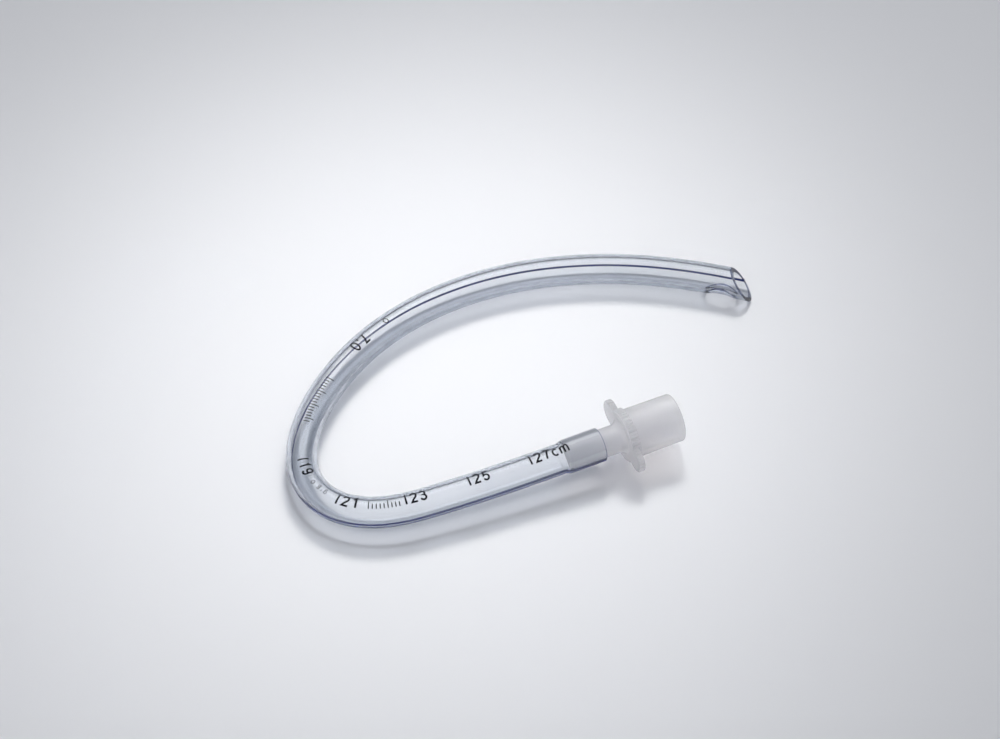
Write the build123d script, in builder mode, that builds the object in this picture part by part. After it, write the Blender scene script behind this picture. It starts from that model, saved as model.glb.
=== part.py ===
from build123d import *
from math import radians, sin, cos, tan, pi
import os

os.makedirs("parts", exist_ok=True)

# Preformed oral endotracheal tube, uncuffed, lying on a table: a U-bent clear
# tube with a bevelled tip and a side eye, and the push-in connector at its
# other end.  Millimetres.  +X along the longest side of the shape as it lies,
# +Z up, origin on the table under the middle of the shape.

# ---------------------------------------------------------------- tube sizes
tube_od = 9.6            # outside diameter
tube_id = 7.0            # lumen
mouth_od = 10.74         # stretched end over the connector's spigot
spigot_depth = 11.7      # length of spigot inside the tube
flare_end = 11.0         # the stretched part has its full size up to here
flare_blend = 13.4       # and is back to the tube's own size here
mouth_round = 0.35

# The moulded curve, read from the connector's end: a straight start, then
# tangent arcs (length along the tube, turn in plan, all turning one way).
straight_start = 14.0
arcs = [
    (36.0, 3.38), (10.0, 2.14), (10.0, 12.48), (10.0, 21.72), (10.0, 28.90),
    (10.0, 26.29), (12.0, 22.75), (18.0, 17.12), (25.0, 15.84), (35.0, 23.26),
    (35.0, 20.45), (35.0, 17.08), (36.0, 12.63),
]
start_x, start_y = 23.061, -25.949   # middle of the tube's cut end, in plan
start_heading = 204.347              # plan direction of the tube there
end_lift = 3.4                       # the flange holds this end up
lift_length = 120.0                  # and the tube reaches the table here
lift_settle = 0.12                   # how gently it does, as a share of that
arc_fill = 0.985                     # share of each run taken by its arcs

# Bevelled tip and side eye
bevel_at = 288.7         # where the cut crosses the tube's middle line
bevel_tilt = 40.0        # angle between the cut's normal and the tube
bevel_side = 66.0        # the cut's short side, up from the outer side
bevel_round_out = 0.35
bevel_round_in = 0.30
eye_at = 282.75          # the eye faces the other way
eye_side = 236.0
eye_length = 10.4
eye_width = 5.8
eye_round = 0.25

# ----------------------------------------------------------- connector sizes
# Distances along the connector are from the tube's cut end, outwards.
spigot_tip_r = 4.20
spigot_root_r = 4.45
spigot_lead = 0.40
neck_r = 4.50
neck_end = 5.0
neck_root_r = 5.70
flange_at = 7.1
disc_thickness = 3.0
disc_r = 8.20
wing_thickness = 2.15
wing_span = 25.8
wing_width = 7.6
wing_turn = 10.0         # the wings' dip towards the table
flange_round = 0.30
rib_r = 0.30             # grip ribs around the flange's edge
rib_inset = 0.10
rib_short = 0.25
disc_ribs = 52
wing_ribs = 23
barrel_end = 25.4
barrel_base_r = 7.741    # outer cone, 1 in 40 on the diameter
barrel_end_r = 7.550
barrel_round = 0.40
barrel_bore_end_r = 6.30
barrel_bore_deep_r = 6.15
barrel_bore_depth = 12.6
bore_round = 0.30
bore_cone_end = 8.8
spigot_bore_r = 3.10

# ------------------------------------------------------------------- the path
ro, ri = tube_od / 2, tube_id / 2


def lift(s):
    """Height of the tube's middle line over where it lies on the table."""
    t, w = (lift_length - s) / lift_length, lift_settle
    if t < -w:
        return 0.0
    if t < w:
        return end_lift * (t + w) ** 2 / (4 * w)
    return end_lift * t


def heading(deg):
    return Vector(cos(radians(deg)), sin(radians(deg)), 0)


corners, radii = [], []
place = Vector(start_x, start_y, 0) + heading(start_heading) * straight_start
angle = start_heading
travelled = straight_start
for length, turn in arcs:
    arc_r = length / radians(turn)
    tangent = arc_r * tan(radians(turn) / 2)
    corner = place + heading(angle) * tangent
    corners.append(Vector(corner.X, corner.Y, ro + lift(travelled + length / 2)))
    radii.append(arc_r * arc_fill)
    angle -= turn
    place = corner + heading(angle) * tangent
    travelled += length
path_end = Vector(place.X, place.Y, ro)
mouth = Vector(start_x, start_y, ro + end_lift)
run_in = (corners[0] - mouth).normalized()
axis_out = run_in * -1                      # out of the tube, along the connector
sweep_start = mouth + run_in * flare_blend
side = axis_out.cross(Vector(0, 0, 1)).normalized()
if side.Y > 0:
    side = side * -1
up = side.cross(axis_out).normalized()
if up.Z < 0:
    up = up * -1
radial_plane = Plane(origin=mouth, x_dir=side, z_dir=side.cross(axis_out))
conn_axis = Axis(mouth, axis_out)

with BuildLine() as route:
    FilletPolyline([sweep_start] + corners + [path_end], radius=radii)
route_wire = route.wires()[0]
print("arc radii", [round(r, 1) for r in radii])
print("middle line", round(route_wire.length + flare_blend, 2))


def frame_at(s):
    """Point on the middle line, direction, outward side and up, s mm along."""
    u = (s - flare_blend) / route_wire.length
    p, t = route_wire.position_at(u), route_wire.tangent_at(u)
    outer = Vector(0, 0, 1).cross(t).normalized()
    return p, t, outer, t.cross(outer).normalized()


def corner_arc(cx, cy, r, deg):
    """Middle point of a rounded corner about (cx, cy)."""
    return (cx + r * cos(radians(deg)), cy + r * sin(radians(deg)))


# ------------------------------------------------------------------- the tube
with BuildPart() as tube:
    # the moulded curve, one section all along
    with BuildSketch(Plane(origin=sweep_start, z_dir=run_in)):
        Circle(ro)
        Circle(ri, mode=Mode.SUBTRACT)
    sweep(path=route_wire)
    print(
        "swept volume", round(tube.part.volume, 1),
        "section x length", round(pi * (ro**2 - ri**2) * route_wire.length, 1),
    )

    # stretched end that grips the connector's spigot
    with BuildSketch(radial_plane):
        with BuildLine():
            m = mouth_od / 2
            Line((spigot_root_r, 0), (m - mouth_round, 0))
            ThreePointArc(
                (m - mouth_round, 0),
                corner_arc(m - mouth_round, -mouth_round, mouth_round, 45),
                (m, -mouth_round),
            )
            Line((m, -mouth_round), (m, -flare_end))
            middle = ((m + ro) / 2, -(flare_end + flare_blend) / 2)
            TangentArc((m, -flare_end), middle, tangent=(0, -1))
            TangentArc((ro, -flare_blend), middle, tangent=(0, 1))
            Line((ro, -flare_blend), (ri, -flare_blend))
            inner = ((ri + spigot_tip_r) / 2, -(spigot_depth + flare_blend) / 2)
            TangentArc((ri, -flare_blend), inner, tangent=(0, 1))
            TangentArc((spigot_tip_r, -spigot_depth), inner, tangent=(0, -1))
            Line((spigot_tip_r, -spigot_depth), (spigot_root_r, 0))
        make_face()
    revolve(axis=conn_axis)

    # bevelled tip
    p, t, outer, top = frame_at(bevel_at)
    short_side = outer * cos(radians(bevel_side)) + top * sin(radians(bevel_side))
    cut_normal = t * cos(radians(bevel_tilt)) + short_side * sin(radians(bevel_tilt))
    split(bisect_by=Plane(origin=p, z_dir=cut_normal), keep=Keep.BOTTOM)
    rims = tube.faces().sort_by(Axis(p, cut_normal))[-1].edges().sort_by(SortBy.LENGTH)
    fillet(rims[-1], bevel_round_out)
    rims = tube.faces().sort_by(Axis(p, cut_normal))[-1].edges().sort_by(SortBy.LENGTH)
    fillet(rims[0], bevel_round_in)

    # side eye, opposite the bevel
    p, t, outer, top = frame_at(eye_at)
    eye_dir = outer * cos(radians(eye_side)) + top * sin(radians(eye_side))
    with BuildSketch(Plane(origin=p, x_dir=t, z_dir=eye_dir)):
        Ellipse(eye_length / 2, eye_width / 2)
    extrude(amount=ro * 1.8, mode=Mode.SUBTRACT)
    eye_edges = tube.edges(Select.LAST).filter_by(lambda e: e.length > 6)
    print("eye edges", [round(e.length, 2) for e in eye_edges])
    fillet(eye_edges, eye_round)

tube.part.label = "tube"

# -------------------------------------------------------------- the connector
wing_dir = side * cos(radians(wing_turn)) - up * sin(radians(wing_turn))
flange_plane = Plane(origin=mouth + axis_out * flange_at, x_dir=wing_dir, z_dir=axis_out)
wing_end = wing_span / 2 - wing_width / 2

with BuildPart() as connector:
    # two wings, their edges rounded
    with BuildSketch(flange_plane):
        SlotOverall(wing_span, wing_width)
    extrude(amount=wing_thickness)
    ends = connector.faces().sort_by(conn_axis)
    fillet(ends[0].edges() + ends[-1].edges(), flange_round)

    # spigot, neck, disc and outer cone
    with BuildSketch(radial_plane):
        with BuildLine():
            back = flange_at + disc_thickness
            root_r = spigot_root_r - spigot_lead * (spigot_root_r - spigot_tip_r) / spigot_depth
            Polyline(
                (spigot_bore_r, -spigot_depth),
                (spigot_tip_r - 0.3, -spigot_depth),
                (spigot_tip_r + spigot_lead * (spigot_root_r - spigot_tip_r) / spigot_depth,
                 -spigot_depth + spigot_lead),
                (spigot_root_r, 0),
                (neck_r, 1.2),
                (neck_r, neck_end),
            )
            TangentArc((neck_r, neck_end), (neck_root_r, flange_at), tangent=(0, 1))
            Line((neck_root_r, flange_at), (disc_r - flange_round, flange_at))
            ThreePointArc(
                (disc_r - flange_round, flange_at),
                corner_arc(disc_r - flange_round, flange_at + flange_round, flange_round, -45),
                (disc_r, flange_at + flange_round),
            )
            Line((disc_r, flange_at + flange_round), (disc_r, back - flange_round))
            ThreePointArc(
                (disc_r, back - flange_round),
                corner_arc(disc_r - flange_round, back - flange_round, flange_round, 45),
                (disc_r - flange_round, back),
            )
            Polyline(
                (disc_r - flange_round, back),
                (barrel_base_r, back),
                (barrel_end_r, barrel_end - barrel_round),
            )
            ThreePointArc(
                (barrel_end_r, barrel_end - barrel_round),
                corner_arc(barrel_end_r - barrel_round, barrel_end - barrel_round, barrel_round, 45),
                (barrel_end_r - barrel_round, barrel_end),
            )
            Line((barrel_end_r - barrel_round, barrel_end), (barrel_bore_end_r + bore_round, barrel_end))
            ThreePointArc(
                (barrel_bore_end_r + bore_round, barrel_end),
                corner_arc(barrel_bore_end_r + bore_round, barrel_end - bore_round, bore_round, 135),
                (barrel_bore_end_r, barrel_end - bore_round),
            )
            Polyline(
                (barrel_bore_end_r, barrel_end - bore_round),
                (barrel_bore_deep_r, barrel_end - barrel_bore_depth),
                (spigot_bore_r, bore_cone_end),
                (spigot_bore_r, -spigot_depth),
            )
        make_face()
    revolve(axis=conn_axis)

    # fine grip ribs around the disc and the wings' ends
    with BuildSketch(flange_plane.offset(rib_short)):
        with PolarLocations(disc_r - rib_inset, disc_ribs):
            Circle(rib_r)
    extrude(amount=disc_thickness - 2 * rib_short)
    with BuildSketch(flange_plane.offset(rib_short)):
        with Locations((wing_end, 0), (-wing_end, 0)):
            with PolarLocations(wing_width / 2 - rib_inset, wing_ribs):
                Circle(rib_r)
    extrude(amount=wing_thickness - 2 * rib_short)

    # the wings cross the bore's room, so the bore is opened again
    with BuildSketch(radial_plane):
        with BuildLine():
            Polyline(
                (0, -spigot_depth - 1),
                (spigot_bore_r, -spigot_depth - 1),
                (spigot_bore_r, bore_cone_end),
                (barrel_bore_deep_r, barrel_end - barrel_bore_depth),
                (0, barrel_end - barrel_bore_depth),
                close=True,
            )
        make_face()
    revolve(axis=conn_axis, mode=Mode.SUBTRACT)

connector.part.label = "connector"

export_step(tube.part, "parts/tube.step")
export_step(connector.part, "parts/connector.step")
b = (tube.part + connector.part).bounding_box()
print("bounds", b.min, b.max)
print("tube volume", round(tube.part.volume, 1), "connector volume", round(connector.part.volume, 1))
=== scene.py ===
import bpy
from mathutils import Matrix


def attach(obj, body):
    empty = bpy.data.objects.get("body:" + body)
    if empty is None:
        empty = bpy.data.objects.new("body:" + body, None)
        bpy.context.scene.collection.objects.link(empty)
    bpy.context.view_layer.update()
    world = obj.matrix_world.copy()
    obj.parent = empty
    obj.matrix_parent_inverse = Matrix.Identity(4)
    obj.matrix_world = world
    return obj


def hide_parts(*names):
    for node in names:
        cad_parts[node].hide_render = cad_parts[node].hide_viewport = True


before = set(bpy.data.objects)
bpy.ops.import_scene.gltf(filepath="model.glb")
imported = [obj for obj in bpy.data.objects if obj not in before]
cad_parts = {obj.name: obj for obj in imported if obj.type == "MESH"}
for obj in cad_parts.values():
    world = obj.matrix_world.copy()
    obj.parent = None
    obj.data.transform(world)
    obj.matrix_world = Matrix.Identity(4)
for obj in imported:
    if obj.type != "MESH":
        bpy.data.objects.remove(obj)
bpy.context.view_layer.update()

import math

import bmesh
import bpy
import numpy as np
from mathutils import Matrix, Vector
from mathutils.geometry import delaunay_2d_cdt

MM = 0.001
scene = bpy.context.scene

# ----------------------------------------------------------- sizes, in mm
RO, RI = 4.8, 3.5                    # tube, outside and lumen
MOUTH_R = 5.37                       # stretched end
SPIGOT_ROOT, SPIGOT_TIP = 4.45, 4.20
SPIGOT_GAP = -0.02                   # the stretched end grips the spigot, with no air between
FILM, FILM_SIDE = 0.032, math.radians(-35.0)  # but over the stiffer stripe a film of air is left
START = (23.061, -25.949)
HEADING = 204.347
RUNS = [                             # length, clockwise turn in degrees
    (14.0, 0.0), (36.0, 3.38), (10.0, 2.14), (10.0, 12.48), (10.0, 21.72),
    (10.0, 28.90), (10.0, 26.29), (12.0, 22.75), (18.0, 17.12), (25.0, 15.84),
    (35.0, 23.26), (35.0, 20.45), (35.0, 17.08), (36.0, 12.63),
]
END_LIFT, LIFT_LENGTH, LIFT_SETTLE = 3.4, 120.0, 0.12
BEVEL_AT, BEVEL_TILT, BEVEL_SIDE = 288.7, math.radians(40.0), math.radians(66.0)
EYE_AT, EYE_SIDE = 282.75, math.radians(236.0)
EYE_A, EYE_B = 5.2, 2.9
COLUMNS = 80                         # round the tube
TIP_FROM = 270.0                     # the tip's own mesh starts here

# ------------------------------------------------------------ middle line
DS = 0.25
S_TAB = np.arange(0.0, 296.0 + DS / 2, DS)


def _middle_line():
    k = np.zeros_like(S_TAB)
    s0 = 0.0
    for length, turn in RUNS:
        k[S_TAB >= s0 - 1e-9] = -math.radians(turn) / length
        s0 += length
    sigma = 2.0
    n = int(4 * sigma / DS)
    x = np.arange(-n, n + 1) * DS
    g = np.exp(-x * x / (2 * sigma * sigma))
    g /= g.sum()
    padded = np.concatenate([np.full(n, k[0]), k, np.full(n, k[-1])])
    k = np.convolve(padded, g, "valid")
    heading = math.radians(HEADING) + np.r_[0, np.cumsum((k[1:] + k[:-1]) / 2) * DS]
    mid = (heading[1:] + heading[:-1]) / 2
    px = START[0] + np.r_[0, np.cumsum(np.cos(mid)) * DS]
    py = START[1] + np.r_[0, np.cumsum(np.sin(mid)) * DS]
    t = (LIFT_LENGTH - S_TAB) / LIFT_LENGTH
    w = LIFT_SETTLE
    lift = END_LIFT * np.where(t < -w, 0, np.where(t < w, (t + w) ** 2 / (4 * w), t))
    return px, py, RO + lift, heading


PX, PY, PZ, HEAD = _middle_line()
SLOPE = np.gradient(PZ, S_TAB)


def frames(s):
    """Middle point, direction, outward side and up at distances s, as arrays."""
    s = np.asarray(s, float)
    h = np.interp(s, S_TAB, HEAD)
    c = np.stack([np.interp(s, S_TAB, PX), np.interp(s, S_TAB, PY), np.interp(s, S_TAB, PZ)], -1)
    before = np.minimum(s, 0.0)[..., None]
    t = np.stack([np.cos(h), np.sin(h), np.interp(s, S_TAB, SLOPE)], -1)
    t /= np.linalg.norm(t, axis=-1, keepdims=True)
    e1 = np.stack([-np.sin(h), np.cos(h), 0 * h], -1)
    e2 = np.cross(t, e1)
    return c + before * t, t, e1, e2


def on_tube(s, a, r):
    """Points at distance s, angle a from the outer side towards the top, radius r."""
    c, t, e1, e2 = frames(s)
    a = np.asarray(a, float)[..., None]
    r = np.asarray(r, float)[..., None]
    radial = np.cos(a) * e1 + np.sin(a) * e2
    return c + r * radial, radial, t


def outer_r(s):
    f = np.clip((np.asarray(s, float) - 10.9) / 2.6, 0, 1)
    return MOUTH_R + (RO - MOUTH_R) * (f * f * (3 - 2 * f))


def inner_r(s):
    s = np.asarray(s, float)
    cone = SPIGOT_ROOT + (SPIGOT_TIP - SPIGOT_ROOT) * np.clip(s / 11.7, 0, 1) + SPIGOT_GAP
    f = np.clip((s - 11.7) / 1.9, 0, 1)
    return cone + (RI - (SPIGOT_TIP + SPIGOT_GAP)) * (f * f * (3 - 2 * f))


def film(s, a):
    """How far the grip stands off the spigot, at distance s and angle a."""
    off = np.abs((a - FILM_SIDE + math.pi) % (2 * math.pi) - math.pi)
    f = np.clip((math.radians(75.0) - off) / math.radians(20.0), 0, 1)
    return FILM * f * f * (3 - 2 * f) * np.clip((12.4 - s) / 0.8, 0, 1)


def bevel_s(a, r):
    return BEVEL_AT - r * math.tan(BEVEL_TILT) * np.cos(a - BEVEL_SIDE)


# ------------------------------------------------------------- small tools
class Shell:
    """Points with known normals, and faces, gathered for one mesh."""

    def __init__(self):
        self.p, self.n, self.f = [], [], []
        self.along, self.edge, self.cut = [], [], []

    def add(self, pts, nrm, along=None, edge=0.0, cut=0.0):
        base = sum(len(x) for x in self.p)
        pts = np.asarray(pts, float).reshape(-1, 3)
        nrm = np.asarray(nrm, float).reshape(-1, 3)
        self.p.append(pts)
        self.n.append(nrm / np.maximum(np.linalg.norm(nrm, axis=1, keepdims=True), 1e-9))
        self.along.append(
            np.zeros((len(pts), 3)) if along is None else np.asarray(along, float).reshape(-1, 3)
        )
        # edge is the amount of painted dark rim shade that the tube's material draws at these points
        self.edge.append(np.full(len(pts), edge))
        self.cut.append(np.full(len(pts), cut))
        return np.arange(base, base + len(pts))

    def bridge(self, ring_a, ring_b, closed=True):
        n = len(ring_a)
        for j in range(n if closed else n - 1):
            k = (j + 1) % n
            self.f.append((int(ring_a[j]), int(ring_a[k]), int(ring_b[k]), int(ring_b[j])))

    def build(self, name):
        p = np.concatenate(self.p) * MM
        n = np.concatenate(self.n)
        me = bpy.data.meshes.new(name)
        me.from_pydata(p.tolist(), [], self.f)
        me.update()
        bm = bmesh.new()
        bm.from_mesh(me)
        bmesh.ops.recalc_face_normals(bm, faces=bm.faces)
        bm.to_mesh(me)
        bm.free()
        me.shade_smooth()
        at = me.attributes.new("run", "FLOAT_VECTOR", "POINT")
        at.data.foreach_set("vector", np.concatenate(self.along).astype(np.float32).ravel())
        ed = me.attributes.new("edge", "FLOAT", "POINT")
        ed.data.foreach_set("value", np.concatenate(self.edge).astype(np.float32))
        ct = me.attributes.new("cut", "FLOAT", "POINT")
        ct.data.foreach_set("value", np.concatenate(self.cut).astype(np.float32))
        me.normals_split_custom_set_from_vertices(n.tolist())
        ob = bpy.data.objects.new(name, me)
        scene.collection.objects.link(ob)
        return ob


def rounded(p1, corner, p3, steps):
    """Points, directions and amount of painted dark rim shade of a rounded corner, ring by ring: quadratic, tangent at
    both ends.
    """
    out = []
    for i in range(steps + 1):
        f = i / steps
        pt = (1 - f) ** 2 * p1 + 2 * f * (1 - f) * corner + f * f * p3
        d = 2 * (1 - f) * (corner - p1) + 2 * f * (p3 - corner)
        out.append((pt, d, math.sin(math.pi * f)))
    return out


def ring_normals(d, ring, closed=True):
    """Normals of a rim from its profile direction and its own direction round the ring."""
    round_dir = np.roll(ring, -1, 0) - np.roll(ring, 1, 0)
    return np.cross(d, round_dir)


# --------------------------------------------------------------- the tube
def build_tube():
    sh = Shell()
    a0 = EYE_SIDE - math.pi                       # the seam runs opposite the eye
    ang = a0 + np.arange(COLUMNS) * 2 * math.pi / COLUMNS

    def ring(s, r_fn, inward, r_slope_step=0.01):
        s = np.full(COLUMNS, float(s)) if np.isscalar(s) else np.asarray(s, float)
        r = r_fn(s)
        slope = (r_fn(s + r_slope_step) - r_fn(s - r_slope_step)) / (2 * r_slope_step)
        if inward:
            r = r + film(s, ang)
        p, radial, t = on_tube(s, ang, r)
        n = radial - slope[:, None] * t
        if inward:
            n = -n
        return sh.add(p, n, np.stack([s, ang * RO, np.full_like(s, 1.0 if inward else 0.0)], 1)), p

    rows = np.concatenate([
        np.arange(0.35, 10.4, 0.72), np.arange(10.5, 14.2, 0.16), np.arange(14.45, TIP_FROM - 0.3, 0.72),
        [TIP_FROM],
    ])
    outer = [ring(s, outer_r, False)[0] for s in rows]
    rows_in = rows.copy()
    rows_in[0] = 0.20
    inner = [ring(s, inner_r, True)[0] for s in rows_in]
    for i in range(len(rows) - 1):
        sh.bridge(outer[i], outer[i + 1])
        sh.bridge(inner[i], inner[i + 1])

    # rim at the connector's end
    def flat_ring(r):
        return on_tube(np.zeros(COLUMNS), ang, np.zeros(COLUMNS) + r)[0]

    o1 = on_tube(np.full(COLUMNS, 0.35), ang, outer_r(np.full(COLUMNS, 0.35)))[0]
    i1 = on_tube(np.full(COLUMNS, 0.20), ang, inner_r(np.full(COLUMNS, 0.20)) + film(0.20, ang))[0]
    ro0, ri0 = MOUTH_R, SPIGOT_ROOT + SPIGOT_GAP + film(0.0, ang)
    back = -frames(np.zeros(1))[1]
    last = outer[0]
    # the third value from rounded() sets the painted dark rim shade on these rings
    for pt, d, rim_shade in rounded(o1, flat_ring(ro0), flat_ring(ro0 - 0.33), 5)[1:]:
        n = ring_normals(d, pt)
        n *= np.sign((n * (pt - flat_ring(0.0) + 3 * back)).sum(1, keepdims=True))
        cur = sh.add(pt, n, edge=rim_shade, cut=1.0)
        sh.bridge(last, cur)
        last = cur
    for pt, d, rim_shade in rounded(flat_ring(ri0 + 0.18), flat_ring(ri0), i1, 4)[:-1]:
        n = ring_normals(d, pt)
        n *= np.sign((n * (flat_ring(0.0) - pt + 6 * back)).sum(1, keepdims=True))
        cur = sh.add(pt, n, edge=rim_shade, cut=1.0)
        sh.bridge(last, cur)
        last = cur
    sh.bridge(last, inner[0])

    # rim of the bevelled tip
    r_out, r_in = 0.42, 0.30
    e_o = on_tube(bevel_s(ang, RO), ang, np.full(COLUMNS, RO))[0]
    e_i = on_tube(bevel_s(ang, RI), ang, np.full(COLUMNS, RI))[0]
    across = (e_i - e_o) / np.linalg.norm(e_i - e_o, axis=1, keepdims=True)
    s_o = bevel_s(ang, RO) - r_out
    s_i = bevel_s(ang, RI) - r_in
    rim_o, p_o = ring(s_o, lambda s: np.full_like(s, RO), False)
    rim_i, p_i = ring(s_i, lambda s: np.full_like(s, RI), True)
    centre, t_b, e1_b, e2_b = frames(np.array([BEVEL_AT]))
    short = math.cos(BEVEL_SIDE) * e1_b + math.sin(BEVEL_SIDE) * e2_b
    face_n = (math.cos(BEVEL_TILT) * t_b + math.sin(BEVEL_TILT) * short)[0]
    last = rim_o
    parts = rounded(p_o, e_o, e_o + across * r_out, 5)[1:]
    parts += rounded(e_i - across * r_in, e_i, p_i, 4)[:-1]
    mid_axis = frames(bevel_s(ang, 4.15))[0]
    # the third value from rounded() sets the painted dark rim shade, at least half, on the bevel's rim
    for i, (pt, d, rim_shade) in enumerate(parts):
        n = ring_normals(d, pt)
        n /= np.linalg.norm(n, axis=1, keepdims=True)
        n *= np.sign((n * (face_n[None, :] * 3 + (pt - mid_axis) * (0.5 if i < 5 else -0.5))).sum(1, keepdims=True))
        cur = sh.add(pt, n, edge=max(rim_shade, 0.5), cut=1.0)
        sh.bridge(last, cur)
        last = cur
    sh.bridge(last, rim_i)

    # side eye: rings of a straight-sided elliptical hole
    N_EYE = 96
    th = np.arange(N_EYE) * 2 * math.pi / N_EYE

    def eye_point(x, y, h):
        c, t, e1, e2 = frames(EYE_AT + x)
        down = math.cos(EYE_SIDE) * e1 + math.sin(EYE_SIDE) * e2
        crosswise = -math.sin(EYE_SIDE) * e1 + math.cos(EYE_SIDE) * e2
        return c + h[:, None] * down + y[:, None] * crosswise

    def eye_on(r, grow):
        x, y = (EYE_A + grow) * np.cos(th), (EYE_B + grow) * np.sin(th)
        return x, y, np.sqrt(r * r - y * y), EYE_SIDE + np.arcsin(y / r)

    g_o, g_i = 0.32, 0.26
    xo, yo, ho, ao = eye_on(RO, g_o)
    xi, yi, hi, ai = eye_on(RI, g_i)
    xc, yc, hco, _ = eye_on(RO, 0.0)
    _, _, hci, _ = eye_on(RI, 0.0)
    po, rad_o, _ = on_tube(EYE_AT + xo, ao, np.full(N_EYE, RO))
    pi_, rad_i, _ = on_tube(EYE_AT + xi, ai, np.full(N_EYE, RI))
    eye_o = sh.add(po, rad_o, np.stack([EYE_AT + xo, ao * RO, 0 * xo], 1), cut=1.0)
    eye_i = sh.add(pi_, -rad_i, np.stack([EYE_AT + xi, ai * RO, 0 * xo + 1], 1), cut=0.8)
    c_o, c_i = eye_point(xc, yc, hco), eye_point(xc, yc, hci)
    w_o, w_i = eye_point(xc, yc, hco - g_o), eye_point(xc, yc, hci + g_i)
    axis_pt = eye_point(xc * 0, yc * 0, (hco + hci) / 2)
    last = eye_o
    # the third value from rounded() sets the painted dark rim shade, never below 0.16, on the eye's rim
    for pt, d, rim_shade in rounded(po, c_o, w_o, 5)[1:] + rounded(w_i, c_i, pi_, 4)[:-1]:
        n = ring_normals(d, pt)
        n /= np.linalg.norm(n, axis=1, keepdims=True)
        inside = eye_point(xc * 0.3, yc * 0.3, (hco + hci) / 2) - pt
        n *= np.sign((n * inside).sum(1, keepdims=True))
        cur = sh.add(pt, n, edge=max(rim_shade, 0.16), cut=1.0)
        sh.bridge(last, cur)
        last = cur
    sh.bridge(last, eye_i)

    # skins of the tip, outside and inside, cut round the eye
    def inside_poly(px, py, poly):
        res = np.zeros(len(px), bool)
        x0, y0 = poly[:, 0], poly[:, 1]
        x1, y1 = np.roll(x0, -1), np.roll(y0, -1)
        for i in range(len(poly)):
            hit = (y0[i] > py) != (y1[i] > py)
            with np.errstate(divide="ignore", invalid="ignore"):
                cut = (x1[i] - x0[i]) * (py - y0[i]) / (y1[i] - y0[i]) + x0[i]
            res ^= hit & (px < cut)
        return res

    def tip_skin(r, start_ring, end_s, end_ring, eye_ids, ex, ea, inward):
        wrap = np.r_[ang, ang[0] + 2 * math.pi]
        pts, ids = [], []

        def put(s, a, idx):
            pts.append((float(s), float(a * r)))
            ids.append(int(idx))
            return len(pts) - 1

        start = [put(TIP_FROM, wrap[j], start_ring[j % COLUMNS]) for j in range(COLUMNS + 1)]
        ends = np.r_[end_s, end_s[0]]
        end = [put(ends[j], wrap[j], end_ring[j % COLUMNS]) for j in range(COLUMNS + 1)]
        loop = [put(EYE_AT + ex[j], ea[j], eye_ids[j]) for j in range(len(eye_ids))]
        eye_poly = np.array([pts[k] for k in loop])
        grown = eye_poly.mean(0) + (eye_poly - eye_poly.mean(0)) * 1.07
        rows_n = 24
        fs, fa, seam = [], [], []
        for j in range(COLUMNS):
            for i in range(1, rows_n):
                s = TIP_FROM + (ends[j] - TIP_FROM) * i / rows_n
                fs.append(s)
                fa.append(wrap[j])
                seam.append(j == 0)
        fs, fa, seam = np.array(fs), np.array(fa), np.array(seam)
        keep = ~inside_poly(fs, fa * r, grown)
        p, radial, _ = on_tube(fs[keep], fa[keep], np.full(keep.sum(), r))
        new = sh.add(p, -radial if inward else radial, np.stack([fs[keep], fa[keep] * RO, 0 * fs[keep] + inward], 1))
        left, right = [start[0]], [start[-1]]
        for s, a, idx, sm in zip(fs[keep], fa[keep], new, seam[keep]):
            k = put(s, a, idx)
            if sm:
                left.append(k)
                right.append(put(s, a + 2 * math.pi, idx))
        left.append(end[0])
        right.append(end[-1])
        edges = [(c[i], c[i + 1]) for c in (start, end, left, right) for i in range(len(c) - 1)]
        edges += [(loop[i], loop[(i + 1) % len(loop)]) for i in range(len(loop))]
        out = delaunay_2d_cdt([Vector(q) for q in pts], edges, [], 0, 1e-6)
        vs, faces, orig = out[0], out[2], out[3]
        xy = np.array([[v.x, v.y] for v in vs])
        rim = np.array([pts[k] for k in start] + [pts[k] for k in reversed(end)])
        mid = np.array([xy[list(f)].mean(0) for f in faces])
        wanted = inside_poly(mid[:, 0], mid[:, 1], rim) & ~inside_poly(mid[:, 0], mid[:, 1], eye_poly)
        for f, want in zip(faces, wanted):
            if not want:
                continue
            tri = [ids[orig[v][0]] for v in f]
            if len(set(tri)) == 3:
                sh.f.append(tuple(tri))

    tip_skin(RO, outer[-1], s_o, rim_o, eye_o, xo, ao, 0)
    tip_skin(RI, inner[-1], s_i, rim_i, eye_i, xi, ai, 1)
    return sh.build("clear_tube")


# ----------------------------------------------- stripe inside the tube wall
def build_stripe():
    sh = Shell()
    mid, half = math.radians(-26.5), 0.40
    s = np.concatenate([np.arange(0.25, 14.0, 0.4), np.arange(14.4, 287.0, 0.8)])
    end = float(bevel_s(mid, 4.45)) - 0.12
    s = np.r_[s[s < end - 0.4], end]
    r_hi = outer_r(s) - 0.16
    r_lo = r_hi - 0.46
    da = half / r_hi
    corners = [(r_hi, mid - da), (r_hi, mid + da), (r_lo, mid + da), (r_lo, mid - da)]
    cols = []
    for k, (r, a) in enumerate(corners):
        p, radial, _ = on_tube(s, a, r)
        cols.append(sh.add(p, radial * (1 if k < 2 else -1)))
    cols = np.array(cols)
    for i in range(len(s) - 1):
        sh.bridge(cols[:, i], cols[:, i + 1])
    sh.f.append(tuple(int(v) for v in cols[::-1, 0]))
    sh.f.append(tuple(int(v) for v in cols[:, -1]))
    ob = sh.build("tube_stripe")
    return ob


# -------------------------------------------------------------------- print
def arc(cx, cy, rx, ry, a0, a1, n):
    return [
        (cx + rx * math.cos(math.radians(a0 + (a1 - a0) * i / n)), cy + ry * math.sin(math.radians(a0 + (a1 - a0) * i / n)))
        for i in range(n + 1)
    ]


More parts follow.
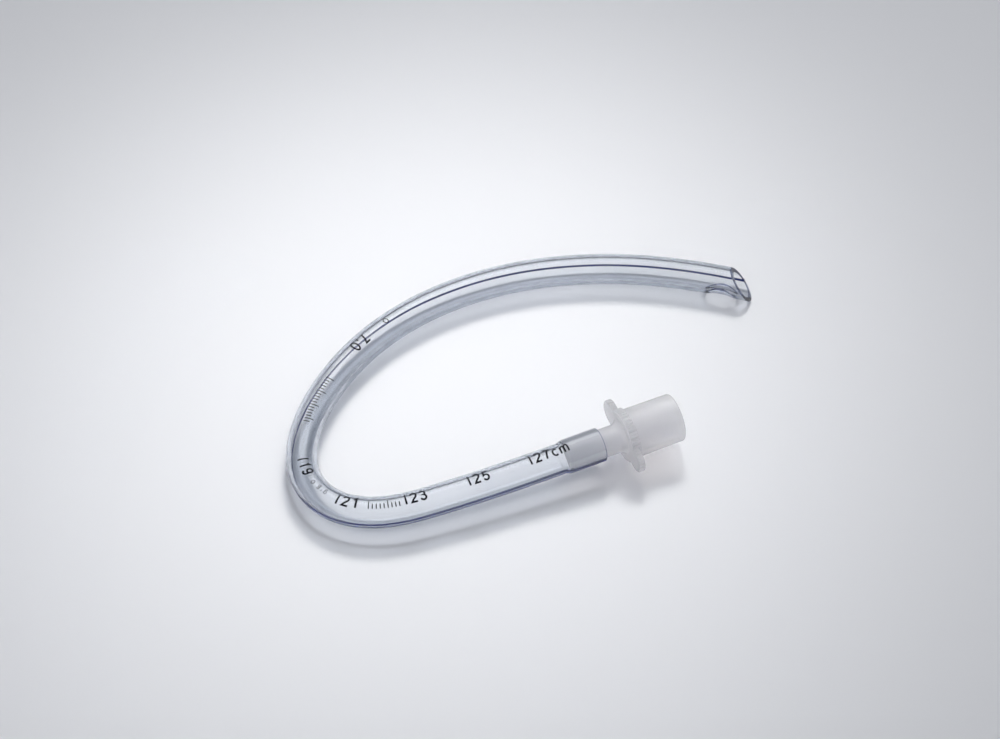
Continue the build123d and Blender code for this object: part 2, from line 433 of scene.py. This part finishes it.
# digits as single strokes, 1 high and about 0.6 wide
GLYPHS = {
    "0": [(arc(0.30, 0.50, 0.235, 0.44, 0, 360, 36)[:-1], True)],
    "1": [([(0.14, 0.76), (0.25, 0.83), (0.36, 0.97), (0.36, 0.03)], False)],
    "2": [(arc(0.305, 0.70, 0.235, 0.24, 172, -20, 16) + [(0.43, 0.47), (0.24, 0.28), (0.09, 0.06), (0.56, 0.06)], False)],
    "3": [(arc(0.29, 0.725, 0.205, 0.215, 160, -70, 14) + [(0.27, 0.52)] + arc(0.29, 0.29, 0.235, 0.235, 85, -165, 16), False)],
    "5": [([(0.52, 0.94), (0.17, 0.94), (0.11, 0.50)] + arc(0.29, 0.32, 0.235, 0.26, 128, -158, 18), False)],
    "6": [(arc(0.31, 0.31, 0.225, 0.255, 90, 450, 24)[:-1], True), ([(0.50, 0.80)] + arc(0.32, 0.62, 0.235, 0.32, 62, 172, 10) + [(0.085, 0.40)], False)],
    "7": [([(0.07, 0.94), (0.54, 0.94), (0.36, 0.62), (0.27, 0.32), (0.22, 0.03)], False)],
    "9": [(arc(0.29, 0.69, 0.225, 0.255, -90, 270, 24)[:-1], True), ([(0.10, 0.20)] + arc(0.28, 0.38, 0.235, 0.32, 242, 352, 10) + [(0.515, 0.60)], False)],
    ".": [([(0.12, 0.05), (0.12, 0.31)], False)],
    "|": [([(0.12, 0.0), (0.12, 1.0)], False)],
    "o": [(arc(0.36, 0.42, 0.30, 0.36, 0, 360, 30)[:-1], True)],
    "c": [(arc(0.30, 0.36, 0.235, 0.31, 48, 312, 20), False)],
    "m": [([(0.08, 0.03), (0.08, 0.70)], False),
          ([(0.08, 0.46)] + arc(0.25, 0.46, 0.155, 0.21, 150, 0, 9) + [(0.405, 0.03)], False),
          ([(0.405, 0.46)] + arc(0.57, 0.46, 0.155, 0.21, 150, 0, 9) + [(0.725, 0.03)], False)],
}


def stroke_strip(points, closed, half):
    """Left and right sides of a pen stroke with mitred corners."""
    pts = [np.array(points[0], float)]
    ring = list(points) + ([points[0]] if closed else [])
    for q in ring[1:]:
        q = np.array(q, float)
        gap = np.linalg.norm(q - pts[-1])
        n = max(1, int(math.ceil(gap / 0.22)))
        p0 = pts[-1].copy()
        for i in range(1, n + 1):
            pts.append(p0 + (q - p0) * i / n)
    pts = np.array(pts)
    if closed:
        pts = pts[:-1]
        fore, aft = np.roll(pts, -1, 0) - pts, pts - np.roll(pts, 1, 0)
    else:
        fore = np.vstack([pts[1:] - pts[:-1], pts[-1:] - pts[-2:-1]])
        aft = np.vstack([pts[1:2] - pts[0:1], pts[1:] - pts[:-1]])
    fore /= np.linalg.norm(fore, axis=1, keepdims=True)
    aft /= np.linalg.norm(aft, axis=1, keepdims=True)
    d = fore + aft
    d /= np.linalg.norm(d, axis=1, keepdims=True)
    n = np.stack([-d[:, 1], d[:, 0]], 1)
    miter = 1 / np.clip((n * np.stack([-fore[:, 1], fore[:, 0]], 1)).sum(1), 0.45, 1)
    off = n * (half * miter)[:, None]
    return pts + off, pts - off


def build_print():
    sh = Shell()

    def stroke(points, closed, half, s0, a_mid, height, lift=(0.004, 0.022)):
        left, right = stroke_strip(points, closed, half)
        strips = []
        for side in (left, right):
            s = s0 - side[:, 0]
            a = a_mid + (side[:, 1] - height / 2) / RO
            lo, radial, _ = on_tube(s, a, outer_r(s) + lift[0])
            hi = on_tube(s, a, outer_r(s) + lift[1])[0]
            strips.append((lo, hi, radial))
        (llo, lhi, lr), (rlo, rhi, rr) = strips
        ids = [sh.add(lhi, lr), sh.add(rhi, rr), sh.add(rlo, -rr), sh.add(llo, -lr)]
        n = len(left)
        cols = np.array(ids)
        for i in range(n if closed else n - 1):
            sh.bridge(cols[:, i], cols[:, (i + 1) % n])
        if not closed:
            sh.f.append(tuple(int(v) for v in cols[::-1, 0]))
            sh.f.append(tuple(int(v) for v in cols[:, -1]))

    def text(string, s0, a_deg, height, advance, half, widths={}):
        """Reads towards the connector; s0 is the left edge of the first glyph."""
        x = 0.0
        for ch in string:
            for pts, closed in GLYPHS.get(ch, []):
                scaled = [(x + px * height, py * height) for px, py in pts]
                stroke(scaled, closed, half, s0, math.radians(a_deg), height)
            x += advance * widths.get(ch, 1.0)

    H, HALF = 3.55, 0.295
    for s_mark, label in ((23.3, "27"), (43.2, "25"), (63.2, "23"), (83.5, "21"), (103.45, "19")):
        mid = {23.3: 88.5, 43.2: 87.0, 63.2: 86.0, 83.5: 82.5, 103.45: 92.0}[s_mark]
        stroke([(0, 0.0), (0, H)], False, 0.28, s_mark, math.radians(mid), H)
        text(label, s_mark - 1.38, mid, H, 2.92, HALF)
        if label == "27":
            text("cm", s_mark - 7.05, mid, H, 2.52, 0.27)
    # fine scale ticks where words would be, all in the same ink
    for s_from, s_to, mid, tall in ((74.2, 65.2, 79.0, 2.6), (138.4, 119.4, 101.0, 2.8)):
        n = int(round((s_from - s_to) / 1.2))
        for i in range(n + 1):
            h = tall if i % 5 == 0 else tall * 0.62
            s = s_from + (s_to - s_from) * i / n
            stroke([(0, 0.0), (0, h)], False, 0.16, s, math.radians(mid) - (tall - h) / 2 / RO, h)
    # size number, and the small outside size
    text("7.0", 159.7, 94.0, 3.9, 2.9, 0.29, {".": 0.55})
    text("o", 169.2, 95.0, 2.5, 2.4, 0.16)
    text("o9.6", 94.2, 86.5, 1.75, 1.75, 0.10, {"o": 1.6, ".": 0.6})
    return sh.build("depth_print")


# ---------------------------------------------------------------- materials
def new_material(name):
    m = bpy.data.materials.new(name)
    m.use_nodes = True
    nt = m.node_tree
    nt.nodes.clear()
    out = nt.nodes.new("ShaderNodeOutputMaterial")
    bsdf = nt.nodes.new("ShaderNodeBsdfPrincipled")
    nt.links.new(bsdf.outputs[0], out.inputs[0])
    return m, nt, bsdf, out


def mark_stops(ramp, stops):
    while len(ramp.color_ramp.elements) < len(stops):
        ramp.color_ramp.elements.new(0.5)
    for el, (at, colour) in zip(ramp.color_ramp.elements, stops):
        el.position = at
        el.color = (*colour, 1)


def times(nt, a, b):
    mix = nt.nodes.new("ShaderNodeVectorMath")
    mix.operation = "MULTIPLY"
    nt.links.new(a, mix.inputs[0])
    nt.links.new(b, mix.inputs[1])
    return mix.outputs[0]


def let_light_through(nt, bsdf, out, stops, also=None):
    """Lamp light goes through, less where it meets the wall at a slant; stops are (slant, colour)."""
    path = nt.nodes.new("ShaderNodeLightPath")
    mix = nt.nodes.new("ShaderNodeMixShader")
    clear = nt.nodes.new("ShaderNodeBsdfTransparent")
    slant = nt.nodes.new("ShaderNodeLayerWeight")
    slant.inputs["Blend"].default_value = 0.5
    ramp = nt.nodes.new("ShaderNodeValToRGB")
    mark_stops(ramp, stops)
    nt.links.new(slant.outputs["Facing"], ramp.inputs[0])
    through = ramp.outputs[0] if also is None else times(nt, ramp.outputs[0], also)
    nt.links.new(through, clear.inputs["Color"])
    nt.links.new(path.outputs["Is Shadow Ray"], mix.inputs[0])
    nt.links.new(bsdf.outputs[0], mix.inputs[1])
    nt.links.new(clear.outputs[0], mix.inputs[2])
    nt.links.new(mix.outputs[0], out.inputs["Surface"])


def pvc_material():
    m, nt, b, out = new_material("clear_pvc")
    b.inputs["Roughness"].default_value = 0.035
    b.inputs["IOR"].default_value = 1.53
    b.inputs["Transmission Weight"].default_value = 1.0
    # painted shade: the rounded rims of the sawn and punched faces are coloured dark, down to near-black navy, for the
    # dark outlines seen there
    cut = nt.nodes.new("ShaderNodeAttribute")
    cut.attribute_name = "edge"
    rim_shade_ramp = nt.nodes.new("ShaderNodeValToRGB")
    mark_stops(rim_shade_ramp, [(0.0, (0.985, 0.99, 1.0)), (0.5, (0.34, 0.39, 0.60)), (1.0, (0.003, 0.006, 0.08))])
    nt.links.new(cut.outputs["Fac"], rim_shade_ramp.inputs[0])
    # painted shade: the skin's colour is darkened where it is looked along, giving the dark bands along the tube's
    # edges, partly a slight haze in the skin; inner faces get half of it
    slant = nt.nodes.new("ShaderNodeLayerWeight")
    slant.inputs["Blend"].default_value = 0.5
    haze_and_edge_shade = nt.nodes.new("ShaderNodeValToRGB")
    mark_stops(haze_and_edge_shade, [
        (0.18, (1.0, 1.0, 1.0)), (0.30, (0.82, 0.83, 0.85)), (0.42, (0.44, 0.455, 0.49)), (0.62, (0.54, 0.56, 0.60)), (1.0, (0.66, 0.68, 0.71)),
    ])
    nt.links.new(slant.outputs["Facing"], haze_and_edge_shade.inputs[0])
    at = nt.nodes.new("ShaderNodeAttribute")
    at.attribute_name = "run"
    side = nt.nodes.new("ShaderNodeSeparateXYZ")
    nt.links.new(at.outputs["Vector"], side.inputs[0])
    weak = nt.nodes.new("ShaderNodeMath")
    weak.operation = "MULTIPLY"
    weak.inputs[1].default_value = 0.5
    nt.links.new(side.outputs["Z"], weak.inputs[0])
    skin = nt.nodes.new("ShaderNodeMix")
    skin.data_type = "RGBA"
    a_in = [i for i in skin.inputs if i.name == "A" and i.type == "RGBA"][0]
    b_in = [i for i in skin.inputs if i.name == "B" and i.type == "RGBA"][0]
    b_in.default_value = (1, 1, 1, 1)
    nt.links.new(weak.outputs[0], skin.inputs[0])
    nt.links.new(haze_and_edge_shade.outputs[0], a_in)
    skin_out = [o for o in skin.outputs if o.type == "RGBA"][0]
    nt.links.new(times(nt, rim_shade_ramp.outputs[0], skin_out), b.inputs["Base Color"])
    absorb = nt.nodes.new("ShaderNodeVolumeAbsorption")
    absorb.inputs["Color"].default_value = (0.62, 0.74, 0.88, 1)
    absorb.inputs["Density"].default_value = 70.0
    nt.links.new(absorb.outputs[0], out.inputs["Volume"])
    sawn = nt.nodes.new("ShaderNodeAttribute")
    sawn.attribute_name = "cut"
    dark = nt.nodes.new("ShaderNodeValToRGB")
    mark_stops(dark, [(0.0, (1.0, 1.0, 1.0)), (1.0, (0.10, 0.11, 0.14))])
    nt.links.new(sawn.outputs["Fac"], dark.inputs[0])
    let_light_through(nt, b, out, [
        (0.0, (0.885, 0.888, 0.896)), (0.25, (0.865, 0.87, 0.88)), (0.45, (0.72, 0.73, 0.75)), (1.0, (0.48, 0.49, 0.52)),
    ], dark.outputs[0])
    # faint drawing lines along the tube and a slow unevenness of its wall
    scale = nt.nodes.new("ShaderNodeVectorMath")
    scale.operation = "MULTIPLY"
    scale.inputs[1].default_value = (0.012, 1.4, 7.0)
    nt.links.new(at.outputs["Vector"], scale.inputs[0])
    lines = nt.nodes.new("ShaderNodeTexNoise")
    lines.inputs["Scale"].default_value = 1.0
    lines.inputs["Detail"].default_value = 3.0
    nt.links.new(scale.outputs[0], lines.inputs["Vector"])
    bump = nt.nodes.new("ShaderNodeBump")
    bump.inputs["Strength"].default_value = 0.01
    bump.inputs["Distance"].default_value = 0.00001
    nt.links.new(lines.outputs["Fac"], bump.inputs["Height"])
    nt.links.new(bump.outputs[0], b.inputs["Normal"])
    return m


def stripe_material():
    m, nt, b, out = new_material("radiopaque_stripe")
    noise = nt.nodes.new("ShaderNodeTexNoise")
    noise.inputs["Scale"].default_value = 900.0
    ramp = nt.nodes.new("ShaderNodeValToRGB")
    ramp.color_ramp.elements[0].color = (0.008, 0.022, 0.20, 1)
    ramp.color_ramp.elements[1].color = (0.016, 0.040, 0.29, 1)
    nt.links.new(noise.outputs["Fac"], ramp.inputs[0])
    nt.links.new(ramp.outputs[0], b.inputs["Base Color"])
    b.inputs["Roughness"].default_value = 0.5
    b.inputs["Specular IOR Level"].default_value = 0.1
    return m


def ink_material():
    m, nt, b, out = new_material("print_ink")
    co = nt.nodes.new("ShaderNodeTexCoord")
    noise = nt.nodes.new("ShaderNodeTexNoise")
    noise.inputs["Scale"].default_value = 2500.0
    ramp = nt.nodes.new("ShaderNodeValToRGB")
    ramp.color_ramp.elements[0].color = (0.003, 0.003, 0.005, 1)
    ramp.color_ramp.elements[1].color = (0.012, 0.012, 0.017, 1)
    nt.links.new(co.outputs["Object"], noise.inputs["Vector"])
    nt.links.new(noise.outputs["Fac"], ramp.inputs[0])
    nt.links.new(ramp.outputs[0], b.inputs["Base Color"])
    b.inputs["Roughness"].default_value = 0.6
    b.inputs["Specular IOR Level"].default_value = 0.06
    return m


def connector_material():
    m, nt, b, out = new_material("natural_polypropylene")
    co = nt.nodes.new("ShaderNodeTexCoord")
    cloud = nt.nodes.new("ShaderNodeTexNoise")
    cloud.inputs["Scale"].default_value = 260.0
    cloud.inputs["Detail"].default_value = 2.0
    ramp = nt.nodes.new("ShaderNodeValToRGB")
    ramp.color_ramp.elements[0].position = 0.3
    ramp.color_ramp.elements[0].color = (0.972, 0.968, 0.988, 1)
    ramp.color_ramp.elements[1].position = 0.7
    ramp.color_ramp.elements[1].color = (0.99, 0.985, 1.0, 1)
    nt.links.new(co.outputs["Object"], cloud.inputs["Vector"])
    nt.links.new(cloud.outputs["Fac"], ramp.inputs[0])
    nt.links.new(ramp.outputs[0], b.inputs["Base Color"])
    b.inputs["Roughness"].default_value = 0.24
    b.inputs["IOR"].default_value = 1.45
    b.inputs["Transmission Weight"].default_value = 0.62
    along = nt.nodes.new("ShaderNodeVectorMath")
    along.operation = "DOT_PRODUCT"
    along.inputs[1].default_value = (math.cos(math.radians(HEADING - 180)), math.sin(math.radians(HEADING - 180)), 0)
    nt.links.new(co.outputs["Object"], along.inputs[0])
    reach = nt.nodes.new("ShaderNodeMapRange")
    at_mouth = MM * (START[0] * along.inputs[1].default_value[0] + START[1] * along.inputs[1].default_value[1])
    reach.inputs["From Min"].default_value = at_mouth - 0.012
    reach.inputs["From Max"].default_value = at_mouth + 0.030
    nt.links.new(along.outputs["Value"], reach.inputs["Value"])
    thick = nt.nodes.new("ShaderNodeValToRGB")
    mark_stops(thick, [(0.0, (1.10, 1.10, 1.10)), (0.22, (1.08, 1.08, 1.08)), (0.30, (0.92, 0.92, 0.935)), (0.36, (0.83, 0.835, 0.85)), (0.50, (0.82, 0.825, 0.84)), (0.60, (0.945, 0.94, 0.94))])
    nt.links.new(reach.outputs["Result"], thick.inputs[0])
    let_light_through(nt, b, out, [
        (0.0, (0.91, 0.90, 0.89)), (0.45, (0.84, 0.83, 0.83)), (0.85, (0.42, 0.43, 0.48)),
    ], thick.outputs[0])
    b.inputs["Subsurface Weight"].default_value = 1.0
    b.inputs["Subsurface Radius"].default_value = (1.0, 1.0, 1.0)
    b.inputs["Subsurface Scale"].default_value = 0.016
    grain = nt.nodes.new("ShaderNodeTexNoise")
    grain.inputs["Scale"].default_value = 1500.0
    nt.links.new(co.outputs["Object"], grain.inputs["Vector"])
    bump = nt.nodes.new("ShaderNodeBump")
    bump.inputs["Strength"].default_value = 0.15
    bump.inputs["Distance"].default_value = 0.00003
    nt.links.new(grain.outputs["Fac"], bump.inputs["Height"])
    nt.links.new(bump.outputs[0], b.inputs["Normal"])
    return m


def floor_material():
    m, nt, b, out = new_material("floor_white")
    b.inputs["Base Color"].default_value = (0.80, 0.805, 0.825, 1)
    b.inputs["Roughness"].default_value = 0.55
    b.inputs["Specular IOR Level"].default_value = 0.3
    return m


# ------------------------------------------------------------------- pieces
tube = build_tube()
tube.data.materials.append(pvc_material())
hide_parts("tube")
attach(tube, "root")

stripe = build_stripe()
stripe.data.materials.append(stripe_material())
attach(stripe, "root")

marks = build_print()
marks.data.materials.append(ink_material())
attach(marks, "root")

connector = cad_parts["connector"]
connector.data.materials.clear()
connector.data.materials.append(connector_material())

# -------------------------------------------------------- floor and lighting
bm = bmesh.new()
bmesh.ops.create_grid(bm, x_segments=2, y_segments=2, size=2.5)
floor_mesh = bpy.data.meshes.new("floor")
bm.to_mesh(floor_mesh)
bm.free()
floor = bpy.data.objects.new("floor", floor_mesh)
floor.location = (0, 0, -0.00003)
scene.collection.objects.link(floor)
floor.data.materials.append(floor_material())

TARGET = Vector((-0.007305, 0.007948, 0.0048))


def area_light(name, azimuth, elevation, distance, size_x, size_y, power, color, spread=180.0, aim=TARGET, glints=True):
    """azimuth 0 is behind the object, along +Y; positive to the right."""
    a, e = math.radians(azimuth), math.radians(elevation)
    d = Vector((math.sin(a) * math.cos(e), math.cos(a) * math.cos(e), math.sin(e)))
    li = bpy.data.lights.new(name, "AREA")
    li.shape = "RECTANGLE"
    li.size, li.size_y = size_x, size_y
    li.energy, li.color = power, color
    li.spread = math.radians(spread)
    ob = bpy.data.objects.new(name, li)
    ob.location = aim + d * distance
    ob.visible_glossy = glints
    ob.visible_transmission = glints
    ob.rotation_euler = d.to_track_quat("Z", "Y").to_euler()
    scene.collection.objects.link(ob)
    return ob


area_light("key", 8, 48, 1.0, 0.90, 0.42, 1.86, (1.0, 1.0, 1.0))
area_light("pool", 8, 46, 0.7, 0.16, 0.14, 0.116, (1.0, 1.0, 1.0), 31, Vector((-0.030, -0.012, 0)), False)
area_light("pool_left", 4, 46, 0.7, 0.20, 0.14, 0.036, (1.0, 1.0, 1.0), 32, Vector((-0.125, -0.008, 0)), False)
area_light("pool_right", 12, 46, 0.7, 0.20, 0.14, 0.024, (1.0, 1.0, 1.0), 34, Vector((0.085, -0.004, 0)), False)

world = bpy.data.worlds.new("room")
world.use_nodes = True
scene.world = world
wn = world.node_tree
wn.nodes.clear()
w_out = wn.nodes.new("ShaderNodeOutputWorld")
w_bg = wn.nodes.new("ShaderNodeBackground")
w_co = wn.nodes.new("ShaderNodeTexCoord")
w_sep = wn.nodes.new("ShaderNodeSeparateXYZ")
w_ramp = wn.nodes.new("ShaderNodeValToRGB")
w_ramp.color_ramp.elements[0].position = 0.0
w_ramp.color_ramp.elements[0].color = (0.16, 0.175, 0.21, 1)
w_ramp.color_ramp.elements.new(0.35).color = (0.31, 0.32, 0.345, 1)
w_ramp.color_ramp.elements[2].position = 1.0
w_ramp.color_ramp.elements[2].color = (0.53, 0.54, 0.56, 1)
wn.links.new(w_co.outputs["Generated"], w_sep.inputs[0])
wn.links.new(w_sep.outputs["Z"], w_ramp.inputs[0])
wn.links.new(w_ramp.outputs[0], w_bg.inputs[0])
w_bg.inputs[1].default_value = 1.0
wn.links.new(w_bg.outputs[0], w_out.inputs[0])

# ------------------------------------------------------------------- camera
ELEV, DIST = math.radians(47.55), 1.0624
cam_data = bpy.data.cameras.new("camera")
cam_data.lens = 123.1
cam_data.sensor_width = 36.0
cam = bpy.data.objects.new("camera", cam_data)
cam.location = TARGET + Vector((0, -DIST * math.cos(ELEV), DIST * math.sin(ELEV)))
cam.rotation_euler = (math.pi / 2 - ELEV, 0, 0)
scene.collection.objects.link(cam)
scene.camera = cam

scene.view_settings.view_transform = "Standard"
scene.view_settings.look = "None"
